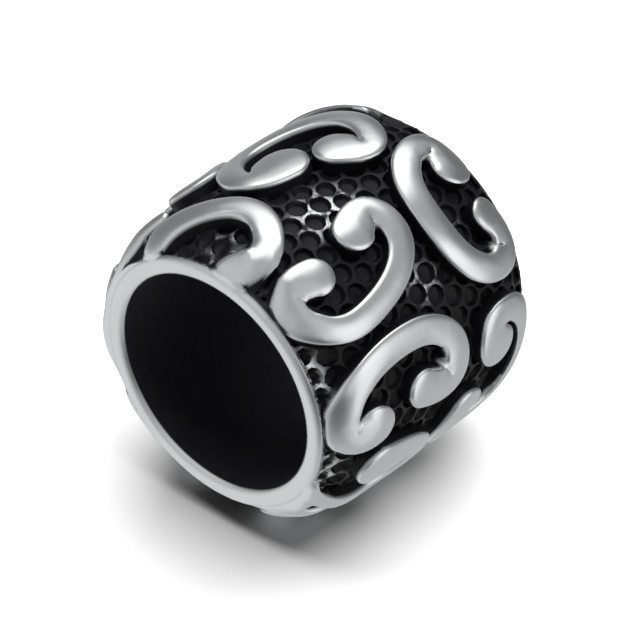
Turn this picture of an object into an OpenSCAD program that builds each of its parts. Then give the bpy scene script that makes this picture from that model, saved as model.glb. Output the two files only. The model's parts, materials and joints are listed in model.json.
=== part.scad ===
// Dreadlock bead: one cast metal barrel with a wide bore, lying on its side.
// The bore runs along Y. The bead rests on the floor at Z = 0.

/* [Bead] */
// Length of the bead along its bore
bead_len = 10.4; // [8:0.2:14]
// Diameter of the bore that a lock of hair passes through
bore_d = 8; // [5:0.1:12]
// Chamfer at each mouth of the bore
mouth = 0.22; // [0.05:0.01:0.3]

/* [Wall] */
// Thickness of the metal at each rim
rim_wall = 0.72; // [0.6:0.02:1.2]
// Width of each smooth rim along the bore
rim_w = 0.22; // [0.15:0.01:0.4]
// Step from each rim down to the ground beside it
groove = 0.14; // [0.06:0.01:0.2]
// How far the scrolls at mid length stand outside the rims
swell = 1.13; // [0.8:0.01:1.6]
// How square the shoulders of the barrel are
shoulder = 6.2; // [3:0.1:9]

/* [Scrolls] */
// Height of the scrolls over the ground between them
relief = 0.52; // [0.25:0.01:0.7]
// Width of the band that each scroll is bent from
band_w = 1; // [0.7:0.02:1.2]
// Width of the round bulbs that the bands end in
bulb_w = 1.52; // [1.2:0.02:1.7]
// Height of a scroll's steep side, as a share of the relief
side = 0.6; // [0.3:0.05:0.8]

/* [Hidden] */
$fn = 96;
bore_r = bore_d / 2;
rim_r = bore_r + rim_wall;
crown_r = rim_r + swell;
end_y = bead_len / 2;
// The scrolls are drawn on the barrel's unrolled sheet, in tenths of its length and tens of degrees
tenth = bead_len / 10;
ten_degrees = crown_r * 10 * PI / 180;
// Over this length beside each end face the scrolls are pressed in to stay inside it
knee = 0.3;
// Stations between two control rows on the arms and in the curls, stations of a round end
arm_steps = 2;
curl_steps = 3;
cap_steps = 3;
// Steps of the barrel's curve along the bead and around it
profile_steps = 8;
barrel_sides = 48;
// A round end stops this many degrees round, and its tip sinks by this share of the bevel
cap_turn = 84;
cap_sink = 0.5;
// Widest inner half of a bend, as a share of the bend's own radius
inner_share = 0.85;
// How far the bore's cutter stands out at each end
past_end = 1;
// The bead stands on two lines of scroll faces, each turned this far from straight down
stand_turn = 12.24;
axis_z = crown_r * cos(stand_turn);

// Arm of a scroll from its middle: share of reach, share of rise,
// then shares of the way from band to bulb width on its outer and on its inner side
ARM = [[0.40, 0.05, 0, 0], [0.78, 0.22, 0, 0], [1.02, 0.55, 0.05, 0]];
// Curled end: share of the way from reach to tip, share of rise, width shares as for ARM
CURL = [[-0.04, 0.95, 0.2, -0.25], [0.20, 1.12, 0.5, -0.2], [0.60, 1.08, 0.95, 0.75], [1, 1, 1, 1]];
// Plain end that runs out into a rim: share of the way from reach to the middle, the rest as for CURL
TAIL = [[-0.12, 0.80, 0.3, 0.3], [-0.20, 1, 1, 1]];
// Section of a band: share across, share of relief
SECTION = [[-1, -0.4], [-0.95, side], [-0.5, 1], [0.5, 1], [0.95, side], [1, -0.4]];

// One row for each scroll: middle of its back along and around the barrel, turn in degrees,
// band width, then reach, rise, tip and bulb width of its first end and of its second end.
// Places along, reaches, rises and tips are in tenths of the length, widths in shares.
// An end whose tip is TAIL_END is a tail that runs out into the rim.
TAIL_END = 99;
SCROLLS = [
    // along, around, turn, band, reach, rise, tip, bulb, reach, rise, tip, bulb
    [-2.65, 39, 4, 0.98, 1.6, 2.1, 0.35, 0.93, 3.15, 2.45, 1.95, 1],
    [-2.93, 103, 125, 1.04, 1.65, 2.6, 0.35, 0.95, 2.8, 0.45, TAIL_END, 1.2],
    [1.5, 124.5, 151, 1, 2.65, 2.6, 1.4, 1.05, 1.95, 2.6, 0.45, 1.25],
    [1.8, 43, -80, 1.05, 2.98, 2.45, 1.76, 1.08, 1.88, 2, 0.28, 0.83],
    [-0.9, 25, 170, 1.05, 1.75, 2.1, 0.25, 0.96, 3.05, 2.7, 1.92, 1.04],
    [4.2, -18, 81, 1, 2.6, 2.7, 0.6, 1.05, 2.55, 1.9, 1.45, 1.08],
    [-3, -43.5, -22, 0.82, 2.3, 0.9, TAIL_END, 0.8, 1.75, 2.25, -0.65, 1.2],
    [-1.6, 134.5, 20, 0.95, 1.1, 2, 0.2, 0.85, 2.4, 2.2, 1.2, 0.95],
    [-4.25, 132, 118, 0.5, 0.45, 0, 0.9, 0.32, 2.2, -0.4, TAIL_END, 0.6],
    [3.6, 155, 105, 0.95, 4.2, 0.3, TAIL_END, 0.7, 1.5, 2, 0.6, 0.85],
    [-2.65, -76, 1, 0.98, 1.6, 1.7, 0.35, 0.9, 3.15, 1.95, 1.95, 0.97],
    [-1.15, -104.5, 178, 1.05, 1.7, 1.75, 0.25, 0.92, 3, 2.25, 1.92, 1],
    [3.95, -90, 90, 1, 2.9, 1.7, 1.6, 0.86, 2.9, 1.7, 1.6, 0.86],
    [-2.93, -163, 125, 1.04, 1.65, 2.6, 0.35, 0.95, 2.8, 0.45, TAIL_END, 1.2],
    [1.5, -141.5, 151, 1, 2.65, 2.6, 1.4, 1.05, 1.95, 2.6, 0.45, 1.25],
];

// Radius over the scrolls at a place along the bead
function crown(y) = rim_r + swell * (1 - pow(min(1, abs(y) / end_y), shoulder));
// Radius of the ground between the scrolls
function ground(y) = max(crown(y) - relief, rim_r - groove);
// Keeps a place along the bead just inside the end faces
function inside(y) =
    let(limit = end_y - rim_w / 4, past = abs(y) - (limit - knee))
    past < 0 ? y : sign(y) * (limit - knee * exp(-past / knee));
function unit(v) = v / norm(v);
function mix(a, b, t) = a + (b - a) * t;

// Smooth curve drawn along rows of control values
function blend(q, i, t) =
    (pow(1 - t, 3) * q[i] + (3 * pow(t, 3) - 6 * t * t + 4) * q[i + 1]
    + (-3 * pow(t, 3) + 3 * t * t + 3 * t + 1) * q[i + 2] + pow(t, 3) * q[i + 3]) / 6;
function stations(i, middle) =
    i >= middle - len(ARM) && i < middle + len(ARM) ? arm_steps : curl_steps;
function smooth(rows, middle) =
    let(last = len(rows) - 1,
        q = concat([2 * rows[0] - rows[1]], rows, [2 * rows[last] - rows[last - 1]]))
    concat(
        [for (i = [0:last - 1])
            let(n = stations(i, middle))
            for (k = [0:n - 1]) blend(q, i, k / n)],
        [rows[last]]);

// Control values of one end of a scroll: reach along its back, rise from it, two half widths
function halves(band, bulb, r) = [mix(band, bulb, r[2]), mix(band, bulb, r[3])];
function end_rows(band, reach, rise, tip, bulb) =
    let(tail = tip == TAIL_END, goal = tail ? 0 : tip)
    concat(
        [for (r = ARM) concat([reach * r[0], rise * r[1]], halves(band, bulb, r))],
        [for (r = tail ? TAIL : CURL)
            concat([mix(reach, goal, r[0]), rise * r[1]], halves(band, bulb, r))]);
function mirrored(rows) =
    [for (i = [len(rows) - 1:-1:0]) [-rows[i][0], rows[i][1], rows[i][2], rows[i][3]]];
// Centre line of a scroll on the sheet in millimetres, with its outer and inner half widths
function spine(s) =
    let(band = s[3] * band_w / 2,
        first = end_rows(band, s[4], s[5], s[6], s[7] * bulb_w / 2),
        second = end_rows(band, s[8], s[9], s[10], s[11] * bulb_w / 2),
        rows = smooth(concat(mirrored(first), [[0, 0, band, band]], second), len(first)))
    [for (r = rows) [
        (s[0] + r[0] * cos(s[2]) - r[1] * sin(s[2])) * tenth,
        (s[1] / 10 + r[0] * sin(s[2]) + r[1] * cos(s[2])) * ten_degrees,
        r[2], r[3]]];

// Direction of a centre line at a station, and how sharply it bends there
function flat(p) = [p[0], p[1]];
function run(p, i) = unit(flat(p[min(i + 1, len(p) - 1)]) - flat(p[max(i - 1, 0)]));
function bend(p, i) =
    i < 1 || i > len(p) - 2 ? 0
    : cross(run(p, i - 1), run(p, i + 1)) / norm(flat(p[i + 1]) - flat(p[i - 1]));
// Half width on the inner side of a bend stays under the bend's own radius
function held(half, turn) = turn > 0 ? min(half, inner_share / turn) : half;
// Rungs across a scroll: right edge, left edge, share of full height
function rungs(s) =
    let(p = spine(s), last = len(p) - 1)
    concat(
        s[6] == TAIL_END ? [] : round_end(p, 0, -1),
        [for (i = [0:last])
            let(d = run(p, i), n = [-d[1], d[0]], k = bend(p, i))
            [flat(p[i]) - n * held(p[i][2], -k), flat(p[i]) + n * held(p[i][3], k), 1]],
        s[10] == TAIL_END ? [] : round_end(p, last, 1));
function round_end(p, i, way) =
    let(d = run(p, i), n = [-d[1], d[0]], half = p[i][2],
        order = way > 0 ? [1:1:cap_steps] : [cap_steps:-1:1])
    [for (k = order)
        let(a = cap_turn * k / cap_steps, c = flat(p[i]) + d * way * half * sin(a), h = half * cos(a))
        [c - n * h, c + n * h, 1 - cap_sink * (1 - side) * pow(sin(a), 4)]];

// Point of the barrel over a point of the sheet, at a share of the relief
function rolled(q, share) =
    let(y = inside(q[0]), a = q[1] / ten_degrees * 10, r = crown(y) - relief * (1 - share))
    [r * cos(a), y, r * sin(a)];
module scroll(s) {
    across = len(SECTION);
    list = rungs(s);
    points = [for (g = list, c = SECTION)
        rolled(mix(g[0], g[1], (c[0] + 1) / 2), c[1] > 0 ? c[1] * g[2] : c[1])];
    sides = [for (i = [0:len(list) - 2], j = [0:across - 1])
        let(k = (j + 1) % across)
        [i * across + j, i * across + k, (i + 1) * across + k, (i + 1) * across + j]];
    first = [for (j = [across - 1:-1:0]) j];
    last = [for (j = [0:across - 1]) (len(list) - 1) * across + j];
    polyhedron(points, concat(sides, [first, last]), convexity = 8);
}

// The barrel under the scrolls: the ground, and a smooth rim at each end
module barrel() {
    ground_y = end_y - rim_w;
    ground_line = [for (i = [0:profile_steps])
        let(y = ground_y * sin(90 * (2 * i / profile_steps - 1)))
        [ground(y), y]];
    rotate([-90, 0, 0])
        rotate_extrude($fn = barrel_sides)
            polygon(concat(
                [[0, -end_y], [rim_r - rim_w / 2, -end_y], [rim_r, -end_y + rim_w / 2],
                [rim_r, -ground_y]],
                ground_line,
                [[rim_r, ground_y], [rim_r, end_y - rim_w / 2], [rim_r - rim_w / 2, end_y],
                [0, end_y]]));
}

module bore() {
    rotate([-90, 0, 0]) {
        cylinder(h = bead_len + 2 * past_end, r = bore_r, center = true);
        for (way = [0, 1])
            mirror([0, 0, way])
                translate([0, 0, end_y - mouth])
                    cylinder(h = 2 * mouth, r1 = bore_r, r2 = bore_r + 2 * mouth);
    }
}

// The outer skin is trued to its nominal length before the bore is cut
module bead() {
    color("silver")
        translate([0, 0, axis_z])
            difference() {
                resize([0, bead_len, 0])
                    union() {
                        barrel();
                        for (s = SCROLLS)
                            scroll(s);
                    }
                bore();
            }
}

bead();
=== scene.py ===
"""Looks of the dreadlock bead: a cast steel barrel with bright scrolls over a blackened, pitted ground.

The bead is worked out in millimetres about its own axis and put in the row frame, in metres, at the end.
"""

import json
import math
import random

import bmesh
import bpy
from mathutils import Matrix, Vector


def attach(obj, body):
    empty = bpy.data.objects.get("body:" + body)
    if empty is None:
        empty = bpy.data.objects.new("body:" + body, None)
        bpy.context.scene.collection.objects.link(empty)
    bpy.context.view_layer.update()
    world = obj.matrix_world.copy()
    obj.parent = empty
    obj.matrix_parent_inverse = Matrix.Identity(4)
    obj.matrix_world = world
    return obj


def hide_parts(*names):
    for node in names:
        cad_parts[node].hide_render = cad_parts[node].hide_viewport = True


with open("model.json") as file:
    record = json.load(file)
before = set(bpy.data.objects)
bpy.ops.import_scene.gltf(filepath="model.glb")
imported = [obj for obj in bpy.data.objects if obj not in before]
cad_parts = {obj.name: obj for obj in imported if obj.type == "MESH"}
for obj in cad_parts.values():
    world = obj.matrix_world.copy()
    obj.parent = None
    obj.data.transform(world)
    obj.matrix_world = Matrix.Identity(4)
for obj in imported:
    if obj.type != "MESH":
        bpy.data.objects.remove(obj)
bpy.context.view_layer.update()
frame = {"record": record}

MM = 0.001
AXIS = Vector(frame["record"]["mounts"][0]["pos_m"])  # middle of the bore

# Sizes of the casting, in millimetres
BEAD_LEN = 10.4
END_Y = BEAD_LEN / 2
BORE_R = 4.0
RIM_R = 4.72
RIM_W = 0.22
MOUTH = 0.24  # how far the end faces are rounded back, along the bead
GROOVE = 0.14  # the most that the ground lies below the rims
SWELL = 1.13  # how much larger the middle's radius is than the rims'
SHOULDER = 6.2  # power of the swelling; a high one makes square shoulders
CROWN_R = RIM_R + SWELL
RELIEF = 0.52  # height of the scrolls over the ground
BAND_W = 1.0  # width of a scroll's band
BULB_W = 1.52  # width of the bulb at its end
CORE_R = 4.3  # outside of the plain tube under the ground
FOOT_R = 4.16  # depth, inside that tube's wall, that all else is carried down to

# The unrolled sheet is measured in millimetres, and scrolls are laid out on it in these two units
TENTH = BEAD_LEN / 10
TEN_DEGREES = CROWN_R * math.radians(10)

GROUND_RISE = (END_Y - 0.6, END_Y - 0.2)  # where the ground rises to a rim
SCROLL_LIMIT = END_Y - RIM_W / 4  # no scroll reaches further along than this
KNEE = 0.3  # length over which it slows down before that
MERGE = 1e-5  # points nearer to each other than this are one


def mix(a, b, t):
    """The value a share of the way from one to another."""
    return a + (b - a) * t


def smoothstep(low, high, x):
    """Rises softly from 0 to 1 between two limits."""
    t = min(1, max(0, (x - low) / (high - low)))
    return t * t * (3 - 2 * t)


def crown(y):
    """Radius over the scrolls at a place along the bead."""
    return RIM_R + SWELL * (1 - min(1, abs(y) / END_Y) ** SHOULDER)


def ground(y):
    """Radius of the ridges between the pits."""
    return mix(max(crown(y) - RELIEF, RIM_R - GROOVE), RIM_R, smoothstep(*GROUND_RISE, abs(y)))


def inside(y):
    """Keeps a place along the bead just inside the end faces."""
    past = abs(y) - (SCROLL_LIMIT - KNEE)
    return y if past < 0 else math.copysign(SCROLL_LIMIT - KNEE * math.exp(-past / KNEE), y)


def on_sheet(y, around):
    """Point of the sheet for a place along the bead, in millimetres, and around it, in degrees."""
    return Vector((y, around / 10 * TEN_DEGREES))


def rolled(q, h):
    """Point of the barrel over a point of the sheet, at a height over the ground."""
    y = inside(q.x)
    a = q.y / TEN_DEGREES * math.radians(10)
    r = crown(y) - RELIEF + h
    return Vector((r * math.cos(a), y, r * math.sin(a)))


def carry_down(geometry):
    """Moves points straight in to the foot's radius."""
    for v in geometry:
        if isinstance(v, bmesh.types.BMVert):
            r = math.hypot(v.co.x, v.co.z)
            v.co.x *= FOOT_R / r
            v.co.z *= FOOT_R / r


def closed(bm):
    """Turns the faces of a closed skin outwards."""
    bmesh.ops.recalc_face_normals(bm, faces=bm.faces[:])
    if bm.calc_volume(signed=True) < 0:
        bmesh.ops.reverse_faces(bm, faces=bm.faces[:])
    return bm


def footed(bm):
    """Carries a face's outline down into the tube's wall, which makes a closed solid of it."""
    bmesh.ops.remove_doubles(bm, verts=bm.verts, dist=MERGE)
    below = bmesh.ops.extrude_face_region(bm, geom=bm.faces[:], use_keep_orig=True)
    carry_down(below["geom"])
    return closed(bm)


# Scrolls
# An arm, from the scroll's middle: share of reach, share of rise, then shares of the way from band
# to bulb width on its outer and on its inner side. A curl or a tail ends it, and counts its first
# share from the arm's reach back to the tip
ARM = [(0.40, 0.05, 0, 0), (0.78, 0.22, 0, 0), (1.02, 0.55, 0.05, 0)]
CURL = [(-0.04, 0.95, 0.2, -0.25), (0.20, 1.12, 0.5, -0.2), (0.60, 1.08, 0.95, 0.75), (1, 1, 1, 1)]
TAIL = [(-0.12, 0.80, 0.3, 0.3), (-0.20, 1, 1, 1)]
TAIL_END = 99  # stands for the tip where a scroll ends in a tail
# Along, reach, rise and tip count in tenths of the bead one way and in tens of degrees the other
# way; around and turn are in degrees; band and bulb are shares of the usual widths
SCROLLS = [
    # along, around, turn, band, then reach, rise, tip and bulb of the first arm and of the second
    (-2.65, 39, 4, 0.98, 1.6, 2.1, 0.35, 0.93, 3.15, 2.45, 1.95, 1),
    (-2.93, 103, 125, 1.04, 1.65, 2.5, 0.4, 0.95, 2.8, 0.45, TAIL_END, 0.62),
    (1.5, 124.5, 151, 1, 2.65, 2.6, 1.4, 1.05, 1.95, 2.6, 0.45, 1.25),
    (1.8, 43, -80, 1.05, 2.98, 2.45, 1.76, 1.08, 1.88, 2, 0.28, 0.83),
    (-0.9, 25, 170, 1.05, 1.75, 2.1, 0.25, 0.96, 3.05, 2.7, 1.92, 1.04),
    (4.2, -18, 81, 1, 2.6, 2.7, 0.85, 1.0, 2.55, 1.9, 1.45, 1.08),
    (-3, -43.5, -22, 0.82, 2.3, 0.9, TAIL_END, 0.8, 1.75, 2.25, -0.65, 1.2),
    (-0.7, 134.5, 20, 0.95, 0.8, 0.9, 0.3, 0.75, 1.4, 2.4, 0.3, 0.8),
    (-4.1, 135, 118, 0.5, 0.6, 0, 0.9, 0.32, 2.2, -0.4, TAIL_END, 0.6),
    (3.6, 155, 105, 0.95, 4.2, 0.3, TAIL_END, 0.7, 1.5, 2, 0.6, 0.85),
    (-2.65, -76, 1, 0.98, 1.6, 1.7, 0.35, 0.9, 3.15, 1.95, 1.95, 0.97),
    (-1.15, -104.5, 178, 1.05, 1.7, 1.75, 0.25, 0.92, 3, 2.25, 1.92, 1),
    (3.95, -90, 90, 1, 2.9, 1.7, 1.6, 0.86, 2.9, 1.7, 1.6, 0.86),
    (-2.93, -163, 125, 1.04, 1.65, 2.6, 0.35, 0.95, 2.8, 0.45, TAIL_END, 1.2),
    (1.5, -141.5, 151, 1, 2.65, 2.6, 1.4, 1.05, 1.95, 2.6, 0.45, 1.25),
]
FIRST_ARM = slice(4, 8)  # columns of the two arms in a row, and of their tips
SECOND_ARM = slice(8, 12)
FIRST_TIP = 6
SECOND_TIP = 10
CURVE_STEPS = 16  # points drawn on the curve for each control row
RUNG_STEP = 0.13  # distance between rungs
LEAST_RUNGS = 8
SHORTEST = 1e-9  # keeps a division from failing
CAP_STEPS = 7  # rungs round a bulb's end
INNER_SHARE = 0.65  # the most of a bend's radius that the half width on its inner side may take
# Places across a band, as shares of its half width in from the edge; the first two are on its steep side
FOOT = -0.08
WALL = -0.02
ACROSS = (FOOT, WALL, 0.0, 0.04, 0.09, 0.16, 0.26, 0.4, 0.6, 0.8)
SUNK = 0.16  # how far the foot goes under the ground
WALL_TOP = 0.26  # height of the point on the wall over the ground
DOME = 0.07  # how far a band's face falls from its middle to its edge
DOME_POWER = 2.0
EDGE = 0.06  # extra fall of the rounded edge itself
EDGE_LEN = 0.05  # how far in the rounded edge reaches


def end_rows(half, reach, rise, tip, bulb):
    """Control rows of an arm and of the curl or the tail that ends it."""
    wide = bulb * BULB_W / 2
    rows = [(reach * u, rise * w, mix(half, wide, k), mix(half, wide, j)) for u, w, k, j in ARM]
    tail = tip == TAIL_END
    goal = 0 if tail else tip
    for u, w, k, j in TAIL if tail else CURL:
        rows.append((mix(reach, goal, u), rise * w, mix(half, wide, k), mix(half, wide, j)))
    return rows


def smooth(rows, steps):
    """Cubic B-spline along rows of four control values, lengthened so that it ends on the last row."""
    before = [2 * a - b for a, b in zip(rows[0], rows[1])]
    after = [2 * a - b for a, b in zip(rows[-1], rows[-2])]
    control = [before, *rows, after]
    out = []
    for i in range(len(rows) - 1):
        for k in range(steps):
            t = k / steps
            w = ((1 - t) ** 3, 3 * t ** 3 - 6 * t * t + 4, -3 * t ** 3 + 3 * t * t + 3 * t + 1, t ** 3)
            out.append([sum(w[m] * control[i + m][c] for m in range(4)) / 6 for c in range(4)])
    out.append(list(rows[-1]))
    return out


def spine(row):
    """Centre line of a scroll on the sheet, evenly spaced, with its outer and inner half widths."""
    along, around, turn, band = row[:4]
    half = band * BAND_W / 2
    first = end_rows(half, *row[FIRST_ARM])
    second = end_rows(half, *row[SECOND_ARM])
    control = [(-u, w, a, b) for u, w, a, b in reversed(first)] + [(0, 0, half, half)] + second
    cos, sin = math.cos(math.radians(turn)), math.sin(math.radians(turn))
    fine = []
    for u, w, outer, inner in smooth(control, CURVE_STEPS):
        x = (along + u * cos - w * sin) * TENTH
        y = (around / 10 + u * sin + w * cos) * TEN_DEGREES
        fine.append((Vector((x, y)), outer, inner))
    lengths = [0.0]
    for (p, _, _), (q, _, _) in zip(fine, fine[1:]):
        lengths.append(lengths[-1] + (q - p).length)
    count = max(LEAST_RUNGS, round(lengths[-1] / RUNG_STEP))
    out, j = [], 0
    for n in range(count + 1):
        goal = lengths[-1] * n / count
        while j < len(fine) - 2 and lengths[j + 1] < goal:
            j += 1
        t = (goal - lengths[j]) / max(SHORTEST, lengths[j + 1] - lengths[j])
        t = min(1, max(0, t))
        out.append(tuple(mix(a, b, t) for a, b in zip(fine[j], fine[j + 1])))
    return out


def height(share, half):
    """Height of a scroll's face over the ground, at a share of its half width in from the edge."""
    if share == FOOT:
        return -SUNK
    if share == WALL:
        return WALL_TOP
    return RELIEF - DOME * (1 - share) ** DOME_POWER - EDGE * math.exp(-share * half / EDGE_LEN)


def rung(middle, right, left, half):
    """Points of one rung and their heights, from its right edge over the middle to its left edge."""
    first = [(middle + right * half * (1 - share), height(share, half)) for share in ACROSS]
    second = [(middle + left * half * (1 - share), height(share, half)) for share in reversed(ACROSS)]
    return first + [(middle, height(1, half))] + second


def bend(line, ways, i):
    """How sharply a centre line turns at a point, positive to the left."""
    if i == 0 or i == len(line) - 1:
        return 0
    turn = ways[i - 1].x * ways[i + 1].y - ways[i - 1].y * ways[i + 1].x
    return turn / (line[i + 1][0] - line[i - 1][0]).length


def cap(line, ways, i, outward):
    """Rungs round a bulb's end, turned step by step until they fold together along the line."""
    middle, half, _ = line[i]
    along = ways[i] * outward
    across = Vector((-ways[i].y, ways[i].x))
    out = []
    for k in range(1, CAP_STEPS + 1):
        a = math.pi / 2 * k / CAP_STEPS
        right = along * math.sin(a) - across * math.cos(a)
        left = along * math.sin(a) + across * math.cos(a)
        out.append(rung(middle, right, left, half))
    return out


def rungs(row):
    """All rungs across a scroll, from one end to the other."""
    line = spine(row)
    last = len(line) - 1
    ways = [(line[min(i + 1, last)][0] - line[max(i - 1, 0)][0]).normalized() for i in range(last + 1)]
    out = []
    for i, (p, outer, inner) in enumerate(line):
        across = Vector((-ways[i].y, ways[i].x))
        k = bend(line, ways, i)
        left = min(inner, INNER_SHARE / k) if k > 0 else inner
        right = min(outer, INNER_SHARE / -k) if k < 0 else outer
        out.append(rung(p + across * (left - right) / 2, -across, across, (left + right) / 2))
    if row[FIRST_TIP] != TAIL_END:
        out = cap(line, ways, 0, -1)[::-1] + out
    if row[SECOND_TIP] != TAIL_END:
        out = out + cap(line, ways, last, 1)
    return out


def scroll_solid(row):
    """One scroll: its face drawn on a grid and rolled onto the barrel, with a foot in the wall."""
    rows = rungs(row)
    across = len(rows[0])
    bm = bmesh.new()
    bmesh.ops.create_grid(bm, x_segments=across - 1, y_segments=len(rows) - 1, size=1)
    bm.verts.ensure_lookup_table()
    for i, points in enumerate(rows):
        for j, (q, h) in enumerate(points):
            bm.verts[i * across + j].co = rolled(q, h)
    return footed(bm)


# Places where a curl's bulb grows together with its own arm
THROATS = [
    # along in millimetres, around in degrees, radius in millimetres
    (-4.0, 79.6, 0.36),
    (-4.05, 81.3, 0.38),
    (-4.5, 81.0, 0.5),
    (3.62, 71.5, 0.22),
    (-0.12, 62.5, 0.2),
    (3.66, 32.5, 0.3),
    (-4.14, 56.0, 0.28),
    (2.96, 6.5, 0.2),
    (0.02, 6.6, 0.34),
    (-4.06, 4.0, 0.24),
    (2.75, -27.0, 0.3),
]
THROAT_H = RELIEF - DOME
THROAT_SIDES = 18


def throat_solid(y, around, radius):
    """A round plug that fills a throat up to the edges of the bands beside it."""
    bm = bmesh.new()
    bmesh.ops.create_circle(bm, cap_ends=True, cap_tris=True, segments=THROAT_SIDES, radius=radius)
    for v in bm.verts:
        v.co = rolled(on_sheet(y, around) + v.co.xy, THROAT_H)
    return footed(bm)


# Swellings where scrolls melt into a rim
PADS = [
    # along, around in degrees, half length, half width, height over the rim
    (-4.9, 81, 0.55, 1.1, 0.16),
    (-4.95, 66, 0.3, 1.2, 0.06),
    (-5.05, 147, 0.45, 1.6, 0.08),
    (-4.95, -46, 0.5, 1.2, 0.08),
    (-4.95, 187, 0.5, 2.0, 0.36),
    (-4.9, 166, 0.5, 1.7, 0.26),
    (-4.6, -57, 0.75, 1.8, 0.4),
    (-4.78, -44, 0.6, 1.4, 0.42),
    (-4.85, -36, 0.55, 1.1, 0.25),
    (-4.95, -130, 0.5, 1.6, 0.1),
    (4.95, 106, 0.45, 1.2, 0.05),
]
PAD_GRID = (18, 24)
PAD_END = END_Y - 0.1  # no swelling reaches further along than this
PAD_SLOPE = 1.5  # power of its sides; a high one makes a wide soft foot
PAD_GAIN = 1.25  # above 1 it cuts the top level


def pad_solid(along, around, half_length, half_width, height_over_rim):
    """One swelling, a low oval mound with its foot under the ground."""
    bm = bmesh.new()
    bmesh.ops.create_grid(bm, x_segments=PAD_GRID[0], y_segments=PAD_GRID[1], size=1)
    for v in bm.verts:
        y = math.copysign(min(abs(along + v.co.x * half_length), PAD_END), along)
        a = math.radians(around) + v.co.y * half_width / RIM_R
        bump = max(0, 1 - v.co.x ** 2 - v.co.y ** 2) ** PAD_SLOPE
        r = mix(ground(y) - SUNK, RIM_R + height_over_rim, min(1, bump * PAD_GAIN))
        v.co = (r * math.cos(a), y, r * math.sin(a))
    return footed(bm)


# Barrel
RING_STEPS = 288
CORNER_STEPS = 9
CREST_R = BORE_R + 0.36  # where an end face is furthest out
LEDGE = 0.04  # how far a rim goes on past its width, and how far the ground reaches into it


def arc(cy, cr, ry, rr, start, end):
    """Points (y, r) of an elliptical arc in the barrel's section."""
    angles = [math.radians(mix(start, end, k / CORNER_STEPS)) for k in range(CORNER_STEPS + 1)]
    return [(cy + ry * math.cos(a), cr + rr * math.sin(a)) for a in angles]


def ring_solid():
    """The plain tube with the bore, its two mouths and the two rims, spun about the bead's axis."""
    half = [(0.0, BORE_R), (END_Y / 2, BORE_R)]
    half += arc(END_Y - MOUTH, CREST_R, MOUTH, CREST_R - BORE_R, 270, 360)[:-1]
    half += arc(END_Y - MOUTH, CREST_R, MOUTH, RIM_R - CREST_R, 0, 90)
    half += [(END_Y - RIM_W - LEDGE, RIM_R), (END_Y - RIM_W - 2 * LEDGE, CORE_R)]
    half += [(END_Y / 2, CORE_R), (0.0, CORE_R)]
    line = half + [(-y, r) for y, r in reversed(half)][1:-1]
    bm = bmesh.new()
    verts = [bm.verts.new((r, y, 0)) for y, r in line]
    edges = [bm.edges.new((a, b)) for a, b in zip(verts, verts[1:] + verts[:1])]
    bmesh.ops.spin(bm, geom=verts + edges, cent=(0, 0, 0), axis=(0, 1, 0), angle=2 * math.pi,
                   steps=RING_STEPS, use_merge=True)
    bmesh.ops.remove_doubles(bm, verts=bm.verts, dist=MERGE)
    return closed(bm)


# Pitted ground
PITCH = 0.80  # distance between two pits
RIDGE = 0.14  # width of the ridge between them
CELL_SIDE = PITCH / math.sqrt(3)
ROW_STEP = PITCH * math.sqrt(3) / 2
COLUMNS = round(2 * math.pi * (CROWN_R - RELIEF) / PITCH)
COLUMN_TURN = 360 / COLUMNS
HALF_ROWS = 7  # rows of cells on each side of the middle row
GROUND_Y = END_Y - RIM_W + LEDGE  # where the ground ends, hidden in the rim
STRAY = 0.07  # how far the corners of the cells stray
STRAY_R = 5.3  # the ground's radius that this is reckoned at
STRAY_FADE = 0.3  # length over which they stray less, next to a rim
SEED = 7
CELL_POINTS = 10  # a cell has five corners or more, and each of its edges has a middle point
BOWL = [
    # inset, further depth and roundness of each step, from the ridge down to a pit's floor
    (RIDGE / 2, 0.008, 0.9),
    (0.03, 0.08, 1),
    (0.06, 0.09, 1),
    (0.1, 0.03, 1),
]


def lay_on_ground(v, a, y):
    """Puts a point on the ground, at an angle around the bead and a place along it."""
    r = ground(y)
    v.co = (r * math.cos(a), y, r * math.sin(a))


def draw_cells(bm):
    """Six-sided cells side by side on a flat sheet."""
    for i in range(COLUMNS):
        for j in range(-HALF_ROWS, HALF_ROWS + 1):
            spot = Matrix.Translation(((i + (j % 2) / 2) * PITCH, j * ROW_STEP, 0))
            bmesh.ops.create_circle(bm, cap_ends=True, radius=CELL_SIDE, segments=6, matrix=spot)
    bmesh.ops.remove_doubles(bm, verts=bm.verts, dist=CELL_SIDE / 10)


def roll_up(bm):
    """Rolls the sheet onto the ground, where its two ends meet and are joined."""
    for v in bm.verts:
        a = math.radians(v.co.x / PITCH * COLUMN_TURN)
        lay_on_ground(v, a, max(-GROUND_Y, min(GROUND_Y, v.co.y)))
    bmesh.ops.remove_doubles(bm, verts=bm.verts, dist=CELL_SIDE / 10)


def stray(bm):
    """Moves the corners a little at random, so that no two cells are alike."""
    chance = random.Random(SEED)
    for v in bm.verts:
        if not v.is_boundary:
            a = math.atan2(v.co.z, v.co.x) + chance.uniform(-1, 1) * STRAY / STRAY_R
            y = v.co.y + chance.uniform(-1, 1) * STRAY * smoothstep(0, STRAY_FADE, GROUND_Y - abs(v.co.y))
            lay_on_ground(v, a, y)


def sink(cells, depth, roundness):
    """Sinks the middles of the cells, and draws their outlines towards a circle."""
    for f in cells:
        c = f.calc_center_median()
        radii = [(v.co - c).length for v in f.verts]
        mean = sum(radii) / len(radii)
        out = Vector((c.x, 0, c.z)).normalized()
        for v, q in zip(f.verts, radii):
            v.co = c + (v.co - c) * (mix(q, mean, roundness) / q) - out * depth


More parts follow.
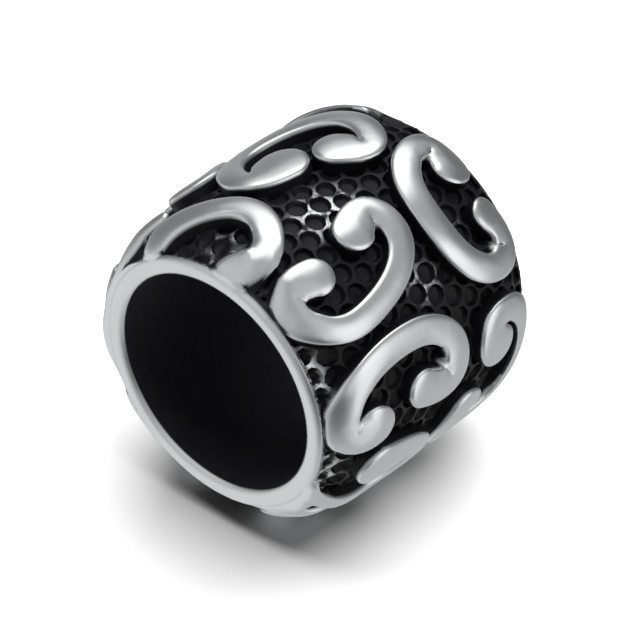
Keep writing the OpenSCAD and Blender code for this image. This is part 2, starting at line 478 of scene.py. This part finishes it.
def pitted_ground():
    """The ground as a ring of six-sided cells, each sunk to a round bowl, with ridges left between them."""
    bm = bmesh.new()
    draw_cells(bm)
    roll_up(bm)
    stray(bm)
    bmesh.ops.recalc_face_normals(bm, faces=bm.faces[:])
    bmesh.ops.subdivide_edges(bm, edges=bm.edges[:], cuts=1)
    cells = [f for f in bm.faces if len(f.verts) >= CELL_POINTS]
    for inset, depth, roundness in BOWL:
        bmesh.ops.inset_individual(bm, faces=cells, thickness=inset)
        sink(cells, depth, roundness)
    # Both open edges of the sheet are carried inwards and joined, so that it is a closed ring
    down = bmesh.ops.extrude_edge_only(bm, edges=[e for e in bm.edges if e.is_boundary])
    carry_down(down["geom"])
    bmesh.ops.bridge_loops(bm, edges=[e for e in bm.edges if e.is_boundary])
    return closed(bm)


# One casting
def as_object(name, bm):
    """Makes an object of a finished bmesh and puts it in the scene."""
    mesh = bpy.data.meshes.new(name)
    bm.to_mesh(mesh)
    bm.free()
    obj = bpy.data.objects.new(name, mesh)
    bpy.context.scene.collection.objects.link(obj)
    return obj


def fused(name, base, others):
    """One closed skin over a base solid and the solids that grow out of it."""
    grown = bpy.data.collections.new("grown")
    for other in others:
        grown.objects.link(other)
    joined = base.modifiers.new("joined", "BOOLEAN")
    joined.operation = "UNION"
    joined.solver = "MANIFOLD"
    joined.operand_type = "COLLECTION"
    joined.collection = grown
    graph = bpy.context.evaluated_depsgraph_get()
    mesh = bpy.data.meshes.new_from_object(base.evaluated_get(graph))
    mesh.name = name
    for obj in [base, *others]:
        bpy.data.objects.remove(obj)
    bpy.data.collections.remove(grown)
    whole = bpy.data.objects.new(name, mesh)
    bpy.context.scene.collection.objects.link(whole)
    return whole


def islands(bm):
    """The separate skins, each as a list of its points, the largest first."""
    seen, found = set(), []
    for start in bm.verts:
        if start in seen:
            continue
        seen.add(start)
        part = [start]
        for v in part:
            for e in v.link_edges:
                other = e.other_vert(v)
                if other not in seen:
                    seen.add(other)
                    part.append(other)
        found.append(part)
    return sorted(found, key=len, reverse=True)


def place_of(co):
    """Radius of a point, and its angle around the bead in degrees."""
    return math.hypot(co.x, co.z), math.degrees(math.atan2(co.z, co.x))


def degrees_from(around, other):
    """Angle from one place around the bead to another, the short way round."""
    return (around - other + 180) % 360 - 180


# How far around each throat the skin is smoothed
THROAT_SPREAD = 2
THROAT_MARGIN = 0.1
SPOTS = [(rolled(on_sheet(y, around), THROAT_H), radius * THROAT_SPREAD + THROAT_MARGIN)
         for y, around, radius in THROATS]
# The swellings are smoothed near the rims alone, down to just under the ridges
NEAR_RIM = 4.2
UNDER_RIDGE = 0.02
PAD_SPREAD = 1.1
PAD_MARGIN = 0.3
# The scroll end that sinks into the front rim at the top, and how much of it is smoothed together
MELT = rolled(on_sheet(-4.62, 83), THROAT_H)
MELT_R = 1.15
MELT_LOW = RIM_R - 0.06
MELT_FRONT = 0.12 - END_Y


def at_growth(co):
    """Whether a point is near a throat."""
    return any(abs(co.y - at.y) < reach and (co - at).length < reach for at, reach in SPOTS)


def at_pad(co):
    """Whether a point is on or beside a swelling."""
    r, around = place_of(co)
    if r < ground(co.y) - UNDER_RIDGE or abs(co.y) < NEAR_RIM:
        return False
    for along, pad_around, half_length, half_width, _ in PADS:
        aside = math.radians(degrees_from(around, pad_around)) * RIM_R / (half_width * PAD_SPREAD)
        ahead = (co.y - along) / (half_length + PAD_MARGIN)
        if along * co.y > 0 and aside ** 2 + ahead ** 2 < 1:
            return True
    return False


def at_melt(co):
    """Whether a point is near that scroll end, and not on the rim's end face."""
    return (co - MELT).length < MELT_R and math.hypot(co.x, co.z) > MELT_LOW and co.y > MELT_FRONT


def softened(bm, near, passes):
    """Smooths the skin where it grows together."""
    verts = [v for v in bm.verts if near(v.co)]
    for _ in range(passes):
        bmesh.ops.smooth_vert(bm, verts=verts, factor=0.5, use_axis_x=True, use_axis_y=True, use_axis_z=True)


def cast_bead():
    """The tube with all that grows out of it, joined to one skin and softened where forms melt together."""
    solids = [pitted_ground()]
    solids += [scroll_solid(row) for row in SCROLLS]
    solids += [pad_solid(*row) for row in PADS]
    solids += [throat_solid(*row) for row in THROATS]
    whole = fused("bead_casting", as_object("core", ring_solid()), [as_object("part", s) for s in solids])
    bm = bmesh.new()
    bm.from_mesh(whole.data)
    # The union leaves a few small bubbles inside the wall
    bubbles = [v for part in islands(bm)[1:] for v in part]
    bmesh.ops.delete(bm, geom=bubbles, context="VERTS")
    bmesh.ops.triangulate(bm, faces=[f for f in bm.faces if len(f.verts) > 4])
    softened(bm, at_growth, passes=14)
    softened(bm, at_pad, passes=12)
    softened(bm, at_melt, passes=24)
    bm.to_mesh(whole.data)
    bm.free()
    return whole


bead = cast_bead()
CRISP = math.radians(38)  # edges that turn by more than this are shaded as edges
for p in bead.data.polygons:
    p.use_smooth = True
bead.data.set_sharp_from_angle(angle=CRISP)

# Where the black is polished off, each from black to bright
BORE_TO_RIM = (BORE_R + 0.01, BORE_R + 0.04)  # radius
GROUND_TO_RIM = (END_Y - 0.2, END_Y - 0.14)  # place along the bead
GROUND_TO_FACE = (0.5, 0.62)  # share of the scrolls' height
LEAST_HEIGHT = 0.12  # the least height that this share is counted of
# Where the ridges between the pits are worn bright
RIDGE_WEAR = (0.06, 0.02)  # depth under the ridges' tops, from black to bright
PATCH_FADE = (1.5, 0.4)  # distance from a patch's middle, in its half sizes, from black to bright
WORN = [
    # along in millimetres, around in degrees, half length, half width in degrees, amount
    (-0.8, 78, 1.2, 9, 0.85),
    (0.4, 37, 0.6, 7, 0.6),
    (-4.2, 92, 0.5, 8, 0.6),
    (-4.7, -22, 0.5, 17, 1.0),
    (-4.8, 28, 0.35, 12, 0.8),
    (2.5, 45, 0.5, 6, 0.5),
    (-1.5, -150, 1.2, 12, 0.7),
    (2.8, -60, 0.8, 9, 0.6),
    (0.5, 170, 0.9, 10, 0.7),
]


def polish_at(co):
    """How far the black is polished off at a point, from 0 to 1."""
    r = math.hypot(co.x, co.z)
    low = ground(co.y)
    rim = smoothstep(*BORE_TO_RIM, r) * smoothstep(*GROUND_TO_RIM, abs(co.y))
    return max(rim, smoothstep(*GROUND_TO_FACE, (r - low) / max(LEAST_HEIGHT, crown(co.y) - low)))


def wear_at(co):
    """How far a ridge is worn bright at a point, from 0 to 1."""
    r, around = place_of(co)
    near = 0
    for y, patch_around, length, width, amount in WORN:
        away = math.hypot((co.y - y) / length, degrees_from(around, patch_around) / width)
        near = max(near, amount * smoothstep(*PATCH_FADE, away))
    return smoothstep(*RIDGE_WEAR, ground(co.y) - r) * near


for name, at in (("polish", polish_at), ("wear", wear_at)):
    layer = bead.data.attributes.new(name, "FLOAT", "POINT")
    layer.data.foreach_set("value", [at(v.co) for v in bead.data.vertices])
bead.data.transform(Matrix.Translation(AXIS) @ Matrix.Scale(MM, 4))


# Finishes
def linear(code):
    """An sRGB hex colour as the linear one that a shader takes."""
    parts = [int(code[i:i + 2], 16) / 255 for i in (1, 3, 5)]
    return [c / 12.92 if c <= 0.04045 else ((c + 0.055) / 1.055) ** 2.4 for c in parts] + [1.0]


def node(tree, kind, settings, links):
    """Adds a node: a setting goes to the socket of its name or number, or else to the node itself."""
    made = tree.nodes.new(kind)
    for key, value in settings.items():
        if isinstance(key, int) or key in made.inputs:
            made.inputs[key].default_value = value
        else:
            setattr(made, key, value)
    for key, source in links.items():
        tree.links.new(source, made.inputs[key])
    return made


def empty_material(name):
    """A material without nodes."""
    material = bpy.data.materials.new(name)
    material.use_nodes = True
    material.node_tree.nodes.clear()
    return material


# Sizes of the patterns in the finishes, in metres
WAVE = 0.0011
WAVE_DEPTH = 0.000012
GRAIN = 0.00035
GRAIN_DEPTH = 0.00003
# size of the random mottle in the bore's painted shade
SHADE_MOTTLE = 0.0004


def cast_stainless_steel():
    """Cast 316L stainless steel, tumbled bright on its high places and blackened in its recesses.

    Tumbling leaves a satin face with soft waves about a millimetre wide, so reflections bend and spread a
    little. The black is a thin matt coat with a fine grain, which gives only a weak sheen. Where a ridge is
    worn, the steel shows through it in small patches.
    """
    steel = empty_material("cast_stainless_steel")
    tree = steel.node_tree
    spot = node(tree, "ShaderNodeTexCoord", {}, {}).outputs["Object"]
    waves = node(tree, "ShaderNodeTexNoise", {"Scale": 1 / WAVE, "Detail": 2.0}, {"Vector": spot})
    swell = node(tree, "ShaderNodeBump", {"Strength": 1.0, "Distance": WAVE_DEPTH},
                 {"Height": waves.outputs["Fac"]})
    from_waves = {"From Min": 0.3, "From Max": 0.7, "To Min": 0.22, "To Max": 0.3}
    satin = node(tree, "ShaderNodeMapRange", from_waves, {"Value": waves.outputs["Fac"]})
    bright = node(tree, "ShaderNodeBsdfPrincipled", {"Base Color": linear("#dcdddf"), "Metallic": 1.0},
                  {"Roughness": satin.outputs["Result"], "Normal": swell.outputs["Normal"]})
    grain = node(tree, "ShaderNodeTexNoise", {"Scale": 1 / GRAIN, "Detail": 5.0}, {"Vector": spot})
    rough = node(tree, "ShaderNodeBump", {"Strength": 0.5, "Distance": GRAIN_DEPTH},
                 {"Height": grain.outputs["Fac"]})
    coat = {"Base Color": linear("#0d0d10"), "Metallic": 0.0, "Roughness": 0.45, "Specular IOR Level": 0.2}
    black = node(tree, "ShaderNodeBsdfPrincipled", coat, {"Normal": rough.outputs["Normal"]})
    polish = node(tree, "ShaderNodeAttribute", {"attribute_name": "polish"}, {})
    wear = node(tree, "ShaderNodeAttribute", {"attribute_name": "wear"}, {})
    patchy = node(tree, "ShaderNodeMapRange", {"From Min": 0.4, "From Max": 0.58},
                  {"Value": grain.outputs["Fac"]})
    worn = node(tree, "ShaderNodeMath", {"operation": "MULTIPLY"},
                {0: wear.outputs["Fac"], 1: patchy.outputs["Result"]})
    shown = node(tree, "ShaderNodeMath", {"operation": "MAXIMUM"},
                 {0: polish.outputs["Fac"], 1: worn.outputs[0]})
    both = node(tree, "ShaderNodeMixShader", {},
                {0: shown.outputs[0], 1: black.outputs[0], 2: bright.outputs[0]})
    node(tree, "ShaderNodeOutputMaterial", {}, {"Surface": both.outputs[0]})
    return steel


def bore_painted_shade():
    """Painted shade for the bore: a near-black, quite matt colour, mottled at random, that stands in for the
    shadow inside it.
    """
    shade_material = empty_material("bore_painted_shade")
    tree = shade_material.node_tree
    spot = node(tree, "ShaderNodeTexCoord", {}, {}).outputs["Object"]
    shade_mottle = node(tree, "ShaderNodeTexNoise", {"Scale": 1 / SHADE_MOTTLE, "Detail": 3.0}, {"Vector": spot})
    painted_shade_ramp = node(tree, "ShaderNodeValToRGB", {}, {"Fac": shade_mottle.outputs["Fac"]})
    # near-black colours that paint the shade in the bore
    painted_shade_ramp.color_ramp.elements[0].color = linear("#1e1e24")
    painted_shade_ramp.color_ramp.elements[1].color = linear("#2a2a30")
    matt_painted_shade = {"Metallic": 0.0, "Roughness": 0.9, "Specular IOR Level": 0.1}
    matt = node(tree, "ShaderNodeBsdfPrincipled", matt_painted_shade, {"Base Color": painted_shade_ramp.outputs["Color"]})
    node(tree, "ShaderNodeOutputMaterial", {}, {"Surface": matt.outputs[0]})
    return shade_material


PAINTED_SHADE_R = BORE_R + 0.03  # faces nearer to the axis than this get the bore's painted shade
bead.data.materials.clear()
bead.data.materials.append(cast_stainless_steel())
bead.data.materials.append(bore_painted_shade())
# the bore's faces take the painted shade, the rest the steel
for p in bead.data.polygons:
    c = p.center
    p.material_index = 1 if math.hypot(c.x, c.z - AXIS.z) < PAINTED_SHADE_R * MM else 0

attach(bead, "root")
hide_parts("bead")

# Studio
# The world lights only what mirrors it; the floor and its shadow come from the panel above
FLOOR_HALF = 0.6
SKY = 0.44  # brightness of the room between the patches
# What the metal mirrors: lit panels and darker corners of the room
ROOM = [
    # azimuth, elevation, angle of the even middle, angle where it ends, brightness
    (120, -75, 35, 60, 0.58),
    (-45, -40, 20, 55, 0.85),
    (-18, 34, 14, 42, 0.68),
    (-98, 20, 16, 44, 0.25),
    (82, 44, 8, 28, 0.62),
    (47, -10, 8, 30, 0.17),
    (156, 18, 6, 26, 0.2),
    (186, -4, 14, 34, 0.2),
    (-154, 12, 5, 24, 0.2),
    (76, 18, 6, 22, 0.78),
    (100, -24, 6, 24, 0.85),
    (106, 18, 10, 29, 1.3),
    (104, -4, 10, 26, 1.15),
    (-135, 42, 4, 20, 0.9),
    (-120, 76, 14, 26, 1.6),
    (-152, 61, 13, 28, 1.9),
]
# The panel's place in degrees and metres, its side, and the brightness of its face
PANEL_AZIMUTH = 193
PANEL_ELEVATION = 67
PANEL_DISTANCE = 0.5
PANEL_SIDE = 0.74
PANEL_BRIGHTNESS = 5.4


def direction(azimuth, elevation):
    """Unit vector towards an azimuth, measured from -Y by way of +X, and an elevation."""
    az, el = math.radians(azimuth), math.radians(elevation)
    return Vector((math.sin(az) * math.cos(el), -math.cos(az) * math.cos(el), math.sin(el)))


def pale_floor():
    """Matt white paper, which spreads the light evenly and isn't mirrored in the metal."""
    bm = bmesh.new()
    bmesh.ops.create_grid(bm, x_segments=1, y_segments=1, size=FLOOR_HALF)
    floor = as_object("floor", bm)
    floor.visible_glossy = False
    paper = bpy.data.materials.new("floor_paper")
    paper.use_nodes = True
    shader = paper.node_tree.nodes["Principled BSDF"]
    shader.inputs["Base Color"].default_value = linear("#f4f4f4")
    shader.inputs["Roughness"].default_value = 0.9
    floor.data.materials.append(paper)
    return floor


def studio_world():
    """A grey room with soft lighter and darker patches, blended one over the other in their order."""
    world = bpy.data.worlds.new("studio")
    world.use_nodes = True
    world.cycles_visibility.diffuse = False
    tree = world.node_tree
    backdrop = tree.nodes["Background"]
    backdrop.inputs["Color"].default_value = linear("#ffffff")
    toward = node(tree, "ShaderNodeTexCoord", {}, {})
    under = None
    for azimuth, elevation, middle_angle, end_angle, brightness in ROOM:
        to_patch = {"operation": "DOT_PRODUCT", 1: direction(azimuth, elevation)}
        aim = node(tree, "ShaderNodeVectorMath", to_patch, {0: toward.outputs["Generated"]})
        share = node(tree, "ShaderNodeMapRange", {"interpolation_type": "SMOOTHSTEP",
                                                  "From Min": math.cos(math.radians(end_angle)),
                                                  "From Max": math.cos(math.radians(middle_angle))},
                     {"Value": aim.outputs["Value"]})
        blend = node(tree, "ShaderNodeMix", {"A": SKY, "B": brightness}, {"Factor": share.outputs["Result"]})
        if under:
            tree.links.new(under, blend.inputs["A"])
        under = blend.outputs["Result"]
    tree.links.new(under, backdrop.inputs["Strength"])
    return world


def panel_above():
    """A wide lit panel that faces the bead from above; its strength is the brightness of its face."""
    light = bpy.data.lights.new("softbox_above", "AREA")
    light.shape = "RECTANGLE"
    light.size = PANEL_SIDE
    light.size_y = PANEL_SIDE
    light.energy = PANEL_BRIGHTNESS * math.pi * PANEL_SIDE * PANEL_SIDE
    panel = bpy.data.objects.new("softbox_above", light)
    panel.visible_glossy = False
    bpy.context.scene.collection.objects.link(panel)
    out = direction(PANEL_AZIMUTH, PANEL_ELEVATION)
    facing = out.to_track_quat("Z", "Y").to_matrix().to_4x4()
    panel.matrix_world = Matrix.Translation(AXIS + out * PANEL_DISTANCE) @ facing


# Camera
# It stands where the ellipses of the two rims put it
FRAME_PX = (637, 636)
CENTRE_PX = (316.23, 309.716)  # where the bore's middle shows
PX_PER_MM = 30.043
AZIMUTH = 41.307
ELEVATION = 39.158
DISTANCE = 200.0  # in millimetres
NEAREST = 0.01  # in metres; nothing nearer to it is drawn


def photo_camera():
    """The camera at the photo's angle, moved aside so that the bead stands where the photo has it."""
    forward = -direction(AZIMUTH, ELEVATION)
    right = Vector((math.cos(math.radians(AZIMUTH)), math.sin(math.radians(AZIMUTH)), 0))
    up = right.cross(forward)
    aside = (CENTRE_PX[0] - FRAME_PX[0] / 2) / PX_PER_MM
    above = -(CENTRE_PX[1] - FRAME_PX[1] / 2) / PX_PER_MM
    lens = bpy.data.cameras.new("camera")
    lens.lens = PX_PER_MM * DISTANCE / FRAME_PX[0] * lens.sensor_width
    lens.clip_start = NEAREST
    camera = bpy.data.objects.new("camera", lens)
    bpy.context.scene.collection.objects.link(camera)
    eye = AXIS + (-forward * DISTANCE - right * aside - up * above) * MM
    turned = Matrix((right, up, -forward)).transposed().to_4x4()
    camera.matrix_world = Matrix.Translation(eye) @ turned
    return camera


floor = pale_floor()
bpy.context.scene.world = studio_world()
panel_above()
bpy.context.scene.camera = photo_camera()
bpy.context.scene.view_settings.view_transform = "Standard"
